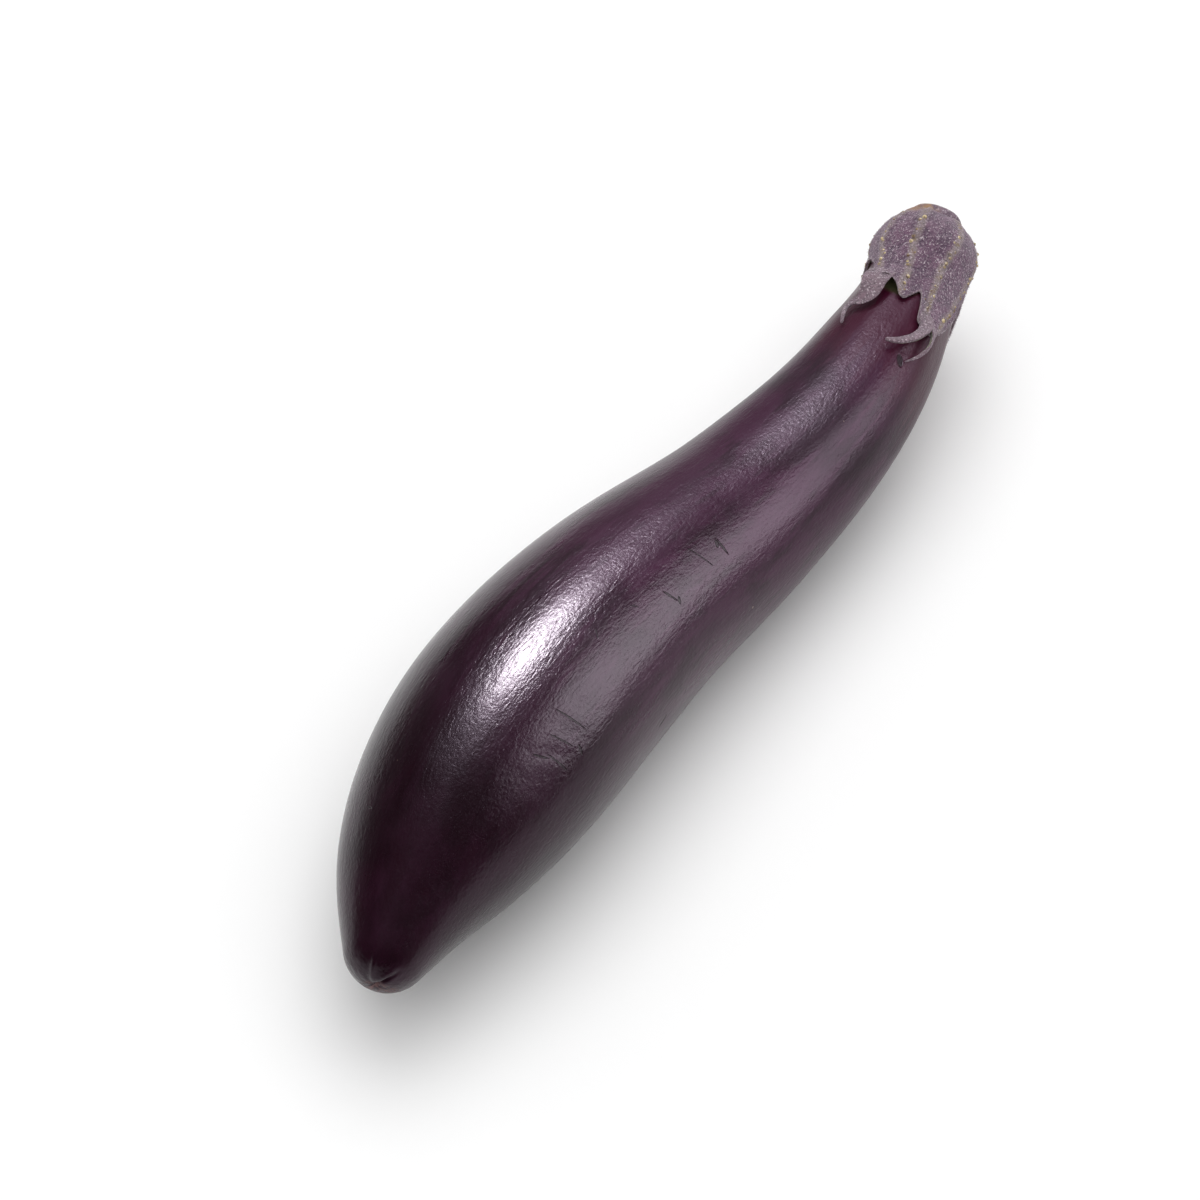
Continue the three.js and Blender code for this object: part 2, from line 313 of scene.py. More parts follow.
def skin_height(s, degrees):
    r = max(radius_at(s), 1.0)
    a = math.radians(degrees)
    grown = Vector((s * 0.011, r * math.cos(a) * 0.045, r * math.sin(a) * 0.045))
    height = 0.30 * noise.noise(grown) * min(1.0, s / 20)
    fine = Vector((s * 0.05, r * math.cos(a) * 0.16, r * math.sin(a) * 0.16))
    height += 0.07 * noise.noise(fine) * min(1.0, s / 12)
    neck = min(1.0, max(0.0, (s - 130) / 75))
    neck = neck * neck * (3 - 2 * neck)
    height += 0.16 * neck * math.sin(5 * a + 0.8 + s * 0.012) + 0.08 * neck * math.sin(11 * a + 2.0)
    side, up = radius_at(s) * math.cos(a), radius_at(s) * math.sin(a)
    if s < 14:
        height -= 0.5 * hill(side - 0.6, 1.2) * hill(up - 0.4, 0.9)
        along = (side - 2.5) * 0.777 + (up - 2.0) * 0.629
        across = (up - 2.0) * 0.777 - (side - 2.5) * 0.629
        height -= 0.75 * hill(along, 1.8) * hill(across, 0.36)
        height += 0.20 * hill(along, 2.0) * hill(across - 0.9, 0.6)
        height += 0.45 * hill(side + 0.3, 0.6) * hill(up - 4.8, 3.0)
        height += 0.07 * noise.noise(Vector((side * 0.8, up * 0.8, 3.0))) * hill(s, 4.0)
    x, y = (s - 57) / 12.0, around(degrees, 47) / 17.0
    if abs(x) < 2 and abs(y) < 2:
        crease = math.sin(0.85 * s + 0.16 * degrees + 3 * noise.noise(Vector((s * 0.1, degrees * 0.07, 0))))
        height += 0.05 * crease * hill(x, 0.8) * hill(y, 0.8) - 0.22 * hill(x, 1.0) * hill(y, 0.9)
    return height


# %% [markdown]
# ### Bending
# Where the middle line turns and the outline changes together, neighbouring rows would meet at a
# faint crease that a glossy skin shows at once. Each ring of skin is therefore averaged with its
# neighbours before the points are moved onto it.

# %% Bending
HOOPS = {}


def hoop_at(s):
    """The ring of skin at s, averaged with its neighbours so that no two rows meet at a crease."""
    key = round(s, 4)
    if key not in HOOPS:
        reach = 3.0 * max(0.0, min(1.0, (s - 8) / 20, (225 - s) / 20))
        total = np.zeros((3, 3))
        for step, share in ((-2, 1), (-1, 4), (0, 6), (1, 4), (2, 1)):
            near = s + step * reach
            middle, _, across, above = frame_at(near)
            total += np.array([middle, across * radius_at(near), above * radius_at(near)]) * share / 16
        _, along, across, above = frame_at(s)
        HOOPS[key] = (total, along, across, above, (radius_at(s + 0.05) - radius_at(s - 0.05)) / 0.1)
    return HOOPS[key]


def on_hoop(s, degrees, height):
    total, along, across, above, slope = hoop_at(s)
    a = math.radians(degrees)
    normal = across * math.cos(a) + above * math.sin(a) - along * slope
    place = total[0] + total[1] * math.cos(a) + total[2] * math.sin(a)
    return (place + normal / np.linalg.norm(normal) * height) * 0.001 - shift


def degrees_of(place):
    """How far round the straight fruit a place lies."""
    return math.degrees(math.atan2(place[2], -place[1])) % 360


straight = np.array([v.co for v in fruit.data.vertices])
remember(fruit, "grown", straight)
for v, place in zip(fruit.data.vertices, straight):
    s = min(max(place[0] * 1000, 0.0), LENGTH)
    v.co = on_hoop(s, degrees_of(place), skin_height(s, degrees_of(place)))
print("fruit bent, lowest point, mm:", round(1000 * min(v.co.z for v in fruit.data.vertices), 2))

# %% [markdown]
# ### The flat it rests on
# The skin under the belly gives way until it lies level, so all that dips under the floor is
# scaled to no height at all.

# %% Press the belly flat
select_points(fruit, [v.co.z < 0 for v in fruit.data.vertices])
bpy.ops.transform.resize(value=(1, 1, 0), center_override=(0, 0, 0))
bpy.ops.object.mode_set(mode="OBJECT")
face_outwards(fruit)
print("points pressed flat:", sum(abs(v.co.z) < 1e-7 for v in fruit.data.vertices))

# %% [markdown]
# ## Helpers for materials
# A material is a graph of small nodes. These helpers add a node, set its numbers and join it to
# what it reads, so that each finish below reads as a short list of layers.

# %% Material helpers
def new_material(name):
    material = bpy.data.materials.new(name)
    material.use_nodes = True
    tree = material.node_tree
    shader = tree.nodes["Principled BSDF"]
    return material, tree, shader


def feed(tree, socket, value):
    """Joins a socket to a node's output, or sets it to a plain value."""
    if isinstance(value, bpy.types.NodeSocket):
        tree.links.new(value, socket)
    else:
        socket.default_value = value


def node(tree, kind, settings=None, **inputs):
    """Adds a node: i0 and i1 are its sockets by number, and other words are their labels."""
    made = tree.nodes.new(kind)
    for key, value in (settings or {}).items():
        setattr(made, key, value)
    for key, value in inputs.items():
        numbered = key[0] == "i" and key[1:].isdigit()
        feed(tree, made.inputs[int(key[1:]) if numbered else key.replace("_", " ")], value)
    return made


def do_math(tree, how, a, b=0.0):
    return node(tree, "ShaderNodeMath", {"operation": how}, i0=a, i1=b).outputs[0]


def times(tree, a, b):
    return do_math(tree, "MULTIPLY", a, b)


def stack(tree, *layers):
    """Adds up layers, each a value and its strength."""
    total = None
    for value, strength in layers:
        layer = times(tree, value, strength)
        total = layer if total is None else do_math(tree, "ADD", total, layer)
    return total


# %% [markdown]
# ### Blends and grains
# Most layers of a finish are one of three things: a soft step from one value to another, a blend
# of two colours, or a grain of a known size in millimetres.

# %% Blends and grains
def dress(tree, shader, sockets):
    """Joins patterns to the shader, and sets straight on it what is the same all over."""
    for name, value in sockets.items():
        feed(tree, shader.inputs[name], value)


def between(tree, value, low, high, out_low=0.0, out_high=1.0):
    """A soft step, from out_low where the value is low to out_high where it is high."""
    made = node(
        tree, "ShaderNodeMapRange", {"interpolation_type": "SMOOTHSTEP"},
        Value=value, From_Min=low, From_Max=high, To_Min=out_low, To_Max=out_high,
    )
    return made.outputs["Result"]


def blend_colours(tree, share, a, b):
    made = node(tree, "ShaderNodeMix", {"data_type": "RGBA", "clamp_factor": True})
    for number, value in ((0, share), (6, a), (7, b)):
        feed(tree, made.inputs[number], value)
    return made.outputs[2]


def grain(tree, where, size_mm, detail=3.0, roughness=0.55, stretch=(1, 1, 1), twist=0.0):
    """Noise whose lumps are about size_mm across, stretched along the fruit if asked."""
    scale = tuple(1000 / size_mm / k for k in stretch)
    place = node(tree, "ShaderNodeMapping", Vector=where, Scale=scale).outputs[0]
    made = node(
        tree, "ShaderNodeTexNoise",
        Vector=place, Scale=1.0, Detail=detail, Roughness=roughness, Distortion=twist,
    )
    return made.outputs["Fac"]


def remembered(tree, name, output="Fac"):
    return node(tree, "ShaderNodeAttribute", {"attribute_name": name}).outputs[output]


def own_place(tree):
    return node(tree, "ShaderNodeTexCoord").outputs["Object"]


def distance_to(tree, where, point):
    made = node(tree, "ShaderNodeVectorMath", {"operation": "DISTANCE"}, i0=where, i1=tuple(point))
    return made.outputs["Value"]


# %% [markdown]
# ## The skin
# The skin is thin, waxed and almost black, a deep aubergine that turns crimson where the calyx kept
# the sun off the neck, and is darkened there with painted shade from the calyx. Its colour sits under
# two layers of gloss: a broad, hazy one from the wax and a sharper coat on top, broken up by a faint
# orange-peel grain. The pattern reads the fruit's own memory of how it grew, so streaks run from stem
# to nose and round every bend.

# %% Dark body colour
DEEP, PLUM = (0.0085, 0.0016, 0.0040, 1), (0.0185, 0.0036, 0.0105, 1)
MAUVE, WINE = (0.043, 0.0095, 0.029, 1), (0.0125, 0.0018, 0.0055, 1)
skin_material, tree, shader = new_material("fruit_skin")
grown = remembered(tree, "grown", "Vector")
along = node(tree, "ShaderNodeSeparateXYZ", Vector=grown).outputs[0]
mottle = grain(tree, grown, 14, 4.0, 0.6, (2.2, 1, 1))
colour = blend_colours(tree, between(tree, mottle, 0.35, 0.7), DEEP, PLUM)
body = times(tree, between(tree, along, 0.030, 0.125), between(tree, mottle, 0.32, 0.58, 0.25, 1.0))
colour = blend_colours(tree, body, colour, MAUVE)
patchy = between(tree, grain(tree, grown, 5.5, 4.0, 0.62, (4, 1, 1), 0.3), 0.50, 0.66)
colour = blend_colours(tree, times(tree, patchy, 0.7), colour, WINE)
print("body colour nodes:", len(tree.nodes))

# %% [markdown]
# ### Streaks and the crimson neck with its painted shade
# Long pale streaks strengthen away from the nose. Towards the calyx the purple gives way unevenly
# to a darker crimson, partly the neck's own colour and partly painted shade from the calyx, with a
# pinker line just under the sepals, so the streaks decide where each one starts.

# %% Streaks and crimson
STREAK, CRIMSON_AND_SHADE, PINK = (0.060, 0.0170, 0.043, 1), (0.047, 0.0042, 0.017, 1), (0.150, 0.014, 0.055, 1)
streak = grain(tree, grown, 2.6, 5.0, 0.65, (14, 1, 1), 0.4)
from_nose = between(tree, along, 0.045, 0.110, 0.12, 1.0)
streaks = times(tree, between(tree, streak, 0.5, 0.70, 0.0, 0.65), from_nose)
colour = blend_colours(tree, streaks, colour, STREAK)
# Towards the calyx the neck turns a darker crimson: partly its own colour, partly painted shade from the
# calyx.
neck = between(tree, along, 0.160, 0.208)
uneven = do_math(tree, "ADD", neck, times(tree, do_math(tree, "SUBTRACT", streak, 0.5), 1.1))
colour = blend_colours(tree, between(tree, uneven, 0.35, 1.0), colour, CRIMSON_AND_SHADE)
pink = times(tree, between(tree, along, 0.206, 0.219), between(tree, streak, 0.42, 0.6))
colour = blend_colours(tree, times(tree, pink, 0.40), colour, PINK)
print("skin colour nodes:", len(tree.nodes))

# %% [markdown]
# ### Nicks
# A picked fruit carries a few nicks. A nick is a short dark line at one place, made from the
# distance to that place squeezed along one direction, with a little wobble so that its edge isn't
# drawn with a ruler.

# %% Nick helper
NICK_REACH = 4.0


def skin_place(s, degrees):
    """Where a spot on the skin lay on the straight fruit, as its points remember it."""
    r, a = radius_at(s) * 0.001, math.radians(degrees)
    return (s * 0.001, -r * math.cos(a), r * math.sin(a))


def nick(tree, where, s, degrees, long_mm, wide_mm, turned):
    """A mask that is 1 on a short line: turned 0 runs round the fruit, 90 runs along it."""
    a, t = math.radians(degrees), math.radians(turned)
    hoop = Vector((0, math.sin(a), math.cos(a)))
    line = Vector((math.sin(t), 0, 0)) + hoop * math.cos(t)
    side = Vector((math.cos(t), 0, 0)) - hoop * math.sin(t)
    out = Vector((0, -math.cos(a), math.sin(a)))
    centre = skin_place(s, degrees)
    away = node(tree, "ShaderNodeVectorMath", {"operation": "SUBTRACT"}, i0=where, i1=centre).outputs[0]
    total = None
    for direction, half_mm in ((line, long_mm / 2), (side, wide_mm / 2), (out, NICK_REACH)):
        dot = node(tree, "ShaderNodeVectorMath", {"operation": "DOT_PRODUCT"}, i0=away, i1=tuple(direction))
        share = times(tree, do_math(tree, "ABSOLUTE", dot.outputs["Value"]), 1000 / half_mm)
        share = do_math(tree, "POWER", share, 2.0)
        total = share if total is None else do_math(tree, "ADD", total, share)
    wobble = do_math(tree, "SUBTRACT", grain(tree, where, 1.3, 2.0), 0.5)
    return between(tree, do_math(tree, "ADD", total, times(tree, wobble, 1.2)), 1.15, 0.45)


# %% [markdown]
# ### Where the nicks are
# Each nick has a place along and round the fruit, a length, a width and a direction. Most are on
# the upper front, and a few are spread over the rest.

# %% Nicks
NICK = (0.008, 0.003, 0.003, 1)
NICKS = [
    (118.5, 58, 7.4, 0.36, -23), (125, 54.5, 5.0, 0.62, -4), (124.2, 57.5, 1.8, 0.9, 20),
    (105.2, 53, 4.2, 0.55, -24), (106.5, 48, 1.8, 0.7, 30), (65, 50, 9.0, 0.42, -14),
    (60, 47, 6.5, 0.40, -20), (56, 41, 6.0, 0.45, -10), (62, 36, 2.4, 0.7, 20), (54, 50, 4.0, 0.5, -30),
    (84, 66, 2.2, 0.35, 40), (96, 62, 2.0, 0.35, -40), (195, 54, 3.2, 1.8, 60), (88, 3, 4.5, 0.6, 75),
    (150, 150, 5.0, 0.5, 80), (70, 196, 4.0, 0.5, 15), (178, 262, 6.0, 0.5, 85), (40, 300, 3.5, 0.5, 30),
    (112, 228, 3.0, 0.6, 50), (30, 128, 2.0, 0.4, 20),
]
marks = nick(tree, grown, *NICKS[0])
for place in NICKS[1:]:
    marks = do_math(tree, "MAXIMUM", marks, nick(tree, grown, *place))
colour = blend_colours(tree, times(tree, marks, 0.96), colour, NICK)
print("nicks:", len(NICKS))

# %% [markdown]
# ### Pores, the blossom scar and the shade
# The pale breathing pores are the middles of scattered cells, and only some cells are used. The
# scar where the flower sat is a small crumbly patch on the nose, and the skin that the arched
# sepal shades stays greenish.

# %% Pores, scar and shade
PORE, SCAR, SHADED = (0.23, 0.16, 0.14, 1), (0.150, 0.082, 0.078, 1), (0.085, 0.080, 0.040, 1)
cells = node(tree, "ShaderNodeTexVoronoi", {"feature": "F1"}, Vector=grown, Scale=150.0, Randomness=1.0)
chosen = node(tree, "ShaderNodeSeparateColor", Color=cells.outputs["Color"]).outputs[0]
pore_size = between(tree, chosen, 0.62, 1.0, 0.0, 0.05)
pores = do_math(tree, "LESS_THAN", cells.outputs["Distance"], pore_size)
colour = blend_colours(tree, times(tree, pores, 0.75), colour, PORE)
from_scar = distance_to(tree, grown, (0.0008, -0.0005, -0.0036))
crumbs = between(tree, grain(tree, grown, 1.1, 4.0, 0.7), 0.40, 0.62)
rough_nose = times(tree, between(tree, from_scar, 0.0054, 0.0034), crumbs)
colour = blend_colours(tree, times(tree, rough_nose, 0.85), colour, SCAR)
from_arch = distance_to(tree, grown, skin_place(217.5, 92))
colour = blend_colours(tree, between(tree, from_arch, 0.0060, 0.0042), colour, SHADED)
print("skin nodes with its marks:", len(tree.nodes))

# %% [markdown]
# ### Gloss and grain
# Wax lies unevenly, so the haze under the coat varies. Two grains shape the bumps: fine pores like
# orange peel, and long fibres that break a bright reflection's edge into short strokes.

# %% Gloss and bumps
haze = grain(tree, grown, 9, 4.0, 0.6, (3, 1, 1))
bloom = between(tree, along, 0.095, 0.175)
wax = between(tree, haze, 0.3, 0.75, 0.26, 0.34)
dull = stack(tree, (wax, 1.0), (marks, 0.3), (bloom, 0.06), (rough_nose, 0.25))
peel = grain(tree, grown, 0.75, 3.0, 0.6)
fibre = grain(tree, grown, 0.68, 3.0, 0.6, (4, 1, 1), 0.5)
swell = grain(tree, grown, 5.0, 2.0, 0.5, (2.5, 1, 1))
grains = ((peel, 0.30), (fibre, 0.45), (swell, 0.5))
bumps = stack(tree, *grains, (marks, -0.8), (pores, 0.2), (rough_nose, 0.9))
bump = node(tree, "ShaderNodeBump", Strength=1.0, Distance=0.00019, Height=bumps).outputs[0]
coat = do_math(tree, "SUBTRACT", 0.38, times(tree, bloom, 0.28))
print("skin nodes:", len(tree.nodes))

# %% [markdown]
# ### Wiring the skin
# The wax thins towards the neck, so the coat there is weaker. Numbers that are the same all over
# are set on the shader itself. The low index of refraction keeps a dark skin from turning grey
# over a pale floor.

# %% Skin shader
dress(tree, shader, {
    "Base Color": colour, "Roughness": dull, "Normal": bump, "Coat Normal": bump, "Coat Weight": coat,
    "IOR": 1.28, "Specular Tint": (0.96, 0.78, 1.0, 1), "Coat Roughness": 0.15, "Coat IOR": 1.32,
})
fruit.data.materials.append(skin_material)
print("finish of the fruit:", fruit.data.materials[0].name)

# %% [markdown]
# ## The calyx cup
# The calyx is a leathery cup of five grown-together sepals. It starts round the stem, hugs the
# neck and ends in points with deep notches between them. It is extruded down from the crown row by
# row, each row a share of the way from the crown to the margin, then folded under itself and back
# up, so that it has a real wall. Ribs run down each sepal, and the margin lifts and curls.

# %% Cup sizes
GAP, EDGE_WALL, CROWN_WALL, SEAT = 0.25, 1.1, 2.9, 5.9
CUP_TOP = SHOULDER_AT + SHOULDER * math.sqrt(1 - (SEAT / COLLAR) ** 2)
MARGIN = [
    (-3, 16), (8, 20), (22, 26), (33, 31), (43, 33.5), (55, 33), (61, 32), (64.5, 28), (66.5, 25),
    (69, 23.4), (72, 24.6), (76, 26.5), (80, 28.4), (85, 28.0), (91, 26), (99, 25), (108, 25.5),
    (116, 24.5), (128, 20.5), (138, 17), (147, 15), (160, 14), (175, 14), (188, 15.5), (198, 20),
    (206, 23.5), (214, 20), (222, 16.5), (233, 22), (247, 29.5), (262, 25), (279, 18), (294, 23),
    (309, 27.5), (330, 23), (345, 18.5), (357, 16), (357.01, 16), (368, 20),
]
RIBS = [
    ((237, 122), (228, 134), (222, 124), (214, 112)),
    ((238, 96), (229, 95), (222, 91), (215, 87)),
    ((238, 48), (231, 50), (224, 58), (216, 57), (209, 55)),
    ((238, 4), (229, 8), (221, 22), (211, 34)),
    ((238, 176), (226, 186), (216, 203)),
    ((238, 200), (228, 196), (220, 190)),
    ((238, 240), (224, 244), (212, 247)),
    ((238, 266), (224, 262), (214, 256)),
    ((238, 300), (224, 304), (213, 309)),
    ((238, 333), (226, 328), (216, 318)),
]
LIFTS = [
    (101, 10.5, 3.7), (64, 4, 1.5), (45, 9, 0.5), (20, 9, 0.25),
    (206, 9, 0.8), (247, 11, 1.1), (309, 12, 1.3),
]
print("cup crown at, mm along:", round(CUP_TOP, 1))

# %% [markdown]
# ### Margin, ribs and thickness
# The margin is a list of angles with how far down each point of it reaches. A rib wanders down a
# sepal through the places on its list. The height over the skin adds up the wall, the lift of the
# margin, the ribs and the lumps.

# %% Cup surface
def margin_at(degrees):
    angles, reach = zip(*MARGIN)
    a = math.radians(degrees)
    ragged = 0.35 * noise.noise(Vector((math.cos(a) * 9, math.sin(a) * 9, 1)))
    return LENGTH - float(np.interp(degrees, angles, reach)) + ragged


def rib_angle(rib, s):
    places, angles = zip(*rib[::-1])
    return float(np.interp(s, places, angles))


def rib_share(s, degrees):
    best = 0.0
    for rib in RIBS:
        at = rib_angle(rib, s)
        wander = 0.6 * noise.noise(Vector((s * 0.35, at * 0.5, 0.0)))
        best = max(best, hill(around(degrees, at) * radius_at(s) / 57.3 + wander, 0.95))
    return best


def cup_height(s, degrees, share, inner):
    wall = EDGE_WALL + (CROWN_WALL - EDGE_WALL) * (1 - share) ** 2
    lift = sum(h * hill(around(degrees, a), w) for a, w, h in LIFTS)
    lift *= max(0.0, (share - 0.62) / 0.38) ** 1.7
    if inner:
        return GAP + lift
    a = math.radians(degrees)
    lump = noise.noise(Vector((s * 0.22, math.cos(a) * 2.6, math.sin(a) * 2.6)))
    grit = noise.noise(Vector((s * 0.9, math.cos(a) * 11, math.sin(a) * 11)))
    thin = 1.0 - 0.2 * share**6
    rough = (0.50 + 0.35 * grit) * rib_share(s, degrees) + 0.32 * lump + 0.16 * grit
    return GAP + lift + wall * thin + rough * min(1.0, 4 * (1 - share) + 0.35)


print("margin at the longest sepal, mm along:", round(margin_at(43), 1))

# %% [markdown]
# ### Extruding the cup
# The outer rows run down from the crown to the margin, and the inner rows run back up under them.
# The first and last rings are then bridged, which closes the wall round the stem's seat.

# %% Cup
CUP_ROUND, OUTER, INNER = 160, 30, 12
cup, level, turn = make_sleeve("eggplant_calyx", CUP_ROUND, OUTER + INNER, False)
cup_grown = []
for v, i, j in zip(cup.data.vertices, level, turn):
    degrees = 360 * j / CUP_ROUND
    inner = i >= OUTER
    step = 1 - (i - OUTER) / (INNER - 1) if inner else i / (OUTER - 1)
    share = 0.55 * (1 - math.cos(step * math.pi / 2)) + 0.45 * step
    s = CUP_TOP + (margin_at(degrees) - CUP_TOP) * share
    v.co = over_skin(s, degrees, cup_height(s, degrees, share, inner))
    cup_grown.append(skin_place(s, degrees))
select_points(cup, (level == 0) | (level == OUTER + INNER - 1))
bpy.ops.mesh.select_mode(type="EDGE")
bpy.ops.mesh.bridge_edge_loops()
bpy.ops.object.mode_set(mode="OBJECT")
print("cup points before smoothing:", len(cup.data.vertices))

# %% [markdown]
# ### What the cup remembers
# Each point of the cup remembers its place on the skin, whether it is inside, how close it is to a
# rib and how close to the margin. The finish reads the last three.

# %% Cup memory
RIM_WIDTH = 1.6


def rim_share(s, degrees):
    return max(0.0, 1 - (s - margin_at(degrees)) / RIM_WIDTH)


remember(cup, "grown", cup_grown)
remember(cup, "inside", level >= OUTER, "FLOAT")
remember(cup, "rib", [rib_share(p[0] * 1000, degrees_of(p)) for p in cup_grown], "FLOAT")
remember(cup, "edge", [rim_share(p[0] * 1000, degrees_of(p)) for p in cup_grown], "FLOAT")
smooth_once(cup)
face_outwards(cup)
print("cup points:", len(cup.data.vertices))

# %% [markdown]
# ## Curled sepal tips
# Each sepal ends in a thin tail that dried as the fruit grew and curled away from the skin. One
# rolls back over itself like a little horn. A tail is a small ring extruded along its route, with
# a flat, hollowed section that narrows to a point.

# %% Tip helpers
def smooth_route(stations, count):
    points = np.array(stations, float)
    found = []
    for u in np.linspace(0, len(points) - 1, count):
        k = min(int(u), len(points) - 2)
        w = u - k
        p0, p1, p2, p3 = (points[min(max(k + d, 0), len(points) - 1)] for d in (-1, 0, 1, 2))
        bow = 2 * p0 - 5 * p1 + 4 * p2 - p3 + w * (3 * (p1 - p2) + p3 - p0)
        found.append(p1 + 0.5 * w * (p2 - p0 + w * bow))
    return found


def tip_sections(route):
    """The middle of each ring of a tip, and the directions across it and out of it."""
    middles = [over_skin(LENGTH - q[0], q[1], q[2]) for q in route]
    sections = []
    for i, q in enumerate(route):
        ahead = middles[min(i + 1, len(route) - 1)] - middles[max(i - 1, 0)]
        ahead /= np.linalg.norm(ahead)
        wide = np.cross(ahead, middles[i] - over_skin(LENGTH - q[0], q[1], 0))
        wide /= np.linalg.norm(wide)
        up = np.cross(wide, ahead)
        c, s = math.cos(math.radians(q[5])), math.sin(math.radians(q[5]))
        sections.append((middles[i], wide * c + up * s, up * c - wide * s))
    return sections


def make_tip(name, stations, rows=26, count=12):
    """Stations: mm from the stem end, degrees, height, width, thickness, roll, hollow."""
    tip, level, turn = make_sleeve(name, count, rows, True)
    route = smooth_route(stations, rows)
    sections = tip_sections(route)
    for v, i, j in zip(tip.data.vertices, level, turn):
        _, degrees, _, width, thickness, _, hollow = route[i]
        middle, wide, up = sections[i]
        a = 2 * math.pi * j / count
        x, y = width / 2 * math.cos(a), thickness / 2 * math.sin(a)
        y += hollow * ((x / max(width / 2, 0.01)) ** 2 - 0.5)
        wave = 0.22 * noise.noise(Vector((i * 0.7, j * 1.3, degrees)))
        v.co = middle + (wide * x + up * (y + wave)) * 0.001
    for n, row in ((len(level), 0), (len(level) + 1, rows - 1)):
        tip.data.vertices[n].co = sections[row][0]
    below = [math.sin(2 * math.pi * j / count) < -0.3 for j in turn] + [False, False]
    remember(tip, "grown", [v.co for v in tip.data.vertices])
    remember(tip, "inside", [0.75 * b for b in below], "FLOAT")
    for name, value in (("rib", 0.4), ("edge", 0.55)):
        remember(tip, name, [value] * len(below), "FLOAT")
    smooth_once(tip)
    face_outwards(tip)
    return tip


# %% [markdown]
# ### The six tips
# The front sepal ends in a forked pair of tails, the arched one on top in a tail that droops to one
# side, and the three on the far side and underneath in shorter ones.

# %% Tips
TIPS = {
    "tail_front": [
        (30, 42, 1.0, 4.0, 1.0, 0, 0.4), (33, 43, 2.4, 2.8, 0.9, 20, 0.5),
        (35.5, 42, 3.0, 1.9, 0.8, 45, 0.4), (38, 42, 2.8, 1.3, 0.7, 40, 0.3),
        (41, 45, 1.9, 0.8, 0.5, 20, 0.1), (44, 51, 1.1, 0.35, 0.3, 0, 0),
    ],
    "horn": [
        (29, 53, 1.2, 3.6, 1.2, 0, 0.5), (33, 51, 2.2, 3.4, 1.6, -25, 0.8),
        (36, 53, 2.8, 2.8, 1.7, -40, 0.7), (39.5, 59, 3.0, 2.2, 1.6, -30, 0.4),
        (42, 66, 2.8, 1.7, 1.4, -10, 0.2), (43.5, 74, 2.6, 0.9, 0.8, 0, 0),
    ],
    "tail_arch": [
        (22.5, 105, 2.9, 5.4, 1.0, 0, 0.3), (25.5, 106, 3.9, 6.2, 1.2, 5, 0.8),
        (28.5, 107, 4.1, 6.0, 1.3, 20, 1.2), (31.8, 107, 3.2, 4.8, 1.2, 35, 1.0),
        (34.3, 110, 2.4, 2.9, 1.0, 25, 0.6), (35.5, 116, 2.3, 1.8, 0.9, 10, 0.3),
        (38, 119, 2.0, 1.2, 0.8, 0, 0.2), (42.5, 114, 1.4, 0.7, 0.6, 0, 0),
    ],
    "tail_left": [
        (20, 204, 1.2, 4.0, 1.0, 0, 0.4), (25, 207, 2.0, 2.6, 0.9, 15, 0.5),
        (29, 212, 2.2, 1.5, 0.8, 30, 0.3), (32, 218, 1.7, 0.5, 0.4, 10, 0),
    ],
    "tail_under": [
        (25, 247, 1.2, 4.2, 1.0, 0, 0.4), (30, 250, 2.1, 2.8, 0.9, -15, 0.5),
        (34, 256, 2.5, 1.6, 0.8, -30, 0.3), (37, 265, 1.8, 0.5, 0.4, -10, 0),
    ],
    "tail_right": [
        (23, 309, 1.2, 4.2, 1.0, 0, 0.4), (28, 306, 2.2, 2.7, 0.9, 15, 0.5),
        (32, 301, 2.4, 1.6, 0.8, 30, 0.3), (35, 294, 1.9, 0.5, 0.4, 10, 0),
    ],
}
tips = [make_tip(name, stations) for name, stations in TIPS.items()]
print("tips:", len(tips))

# %% [markdown]
# ## Prickles
# Rows of small tan prickles, worn down to warts, stand along the ribs. One wart is modelled from a
# cone, and each copy is turned to stand on the cup at its own place and size.

# %% Spike helpers
def cup_point(s, degrees, extra=0.0):
    share = (CUP_TOP - s) / (CUP_TOP - margin_at(degrees))
    return over_skin(s, degrees, cup_height(s, degrees, min(max(share, 0.0), 1.0), False) + extra)


def make_spike(sides, foot, tall):
    """One blunt cone standing on the origin, in mm."""
    clear_selection()
    bpy.ops.mesh.primitive_cone_add(
        vertices=sides, radius1=foot * 0.001, radius2=foot * 0.00022, depth=tall * 0.001,
        end_fill_type="NOTHING", location=(0, 0, 0),
    )
    bpy.ops.object.mode_set(mode="EDIT")
    bpy.ops.transform.translate(value=(0, 0, tall * 0.0005))
    bpy.ops.object.mode_set(mode="OBJECT")
    return bpy.context.active_object


def stand_copies(name, places, sides, foot, tall):
    """Copies of one spike, sunk a little into the cup; places hold mm along, degrees, size, lean."""
    spike = make_spike(sides, foot, tall)
    shape = np.array([v.co for v in spike.data.vertices])
    faces = np.array([p.vertices for p in spike.data.polygons])
    points, all_faces = [], []
    for n, (s, degrees, size, lean) in enumerate(places):
        base, tip = cup_point(s, degrees, -0.05), cup_point(s, degrees, tall * size)
        aim = Vector(tip - base).normalized() + Vector(frame_at(s)[1]) * lean
        turned = np.array(aim.to_track_quat("Z", "Y").to_matrix())
        points += (shape * size @ turned.T + base).tolist()
        all_faces += (faces + len(shape) * n).tolist()
    spike.data.clear_geometry()
    spike.data.from_pydata(points, [], all_faces)
    spike.name = spike.data.name = name
    return spike


# %% [markdown]
# ### Rows of prickles
# The prickles follow each rib from the margin to the crown, a little unevenly.

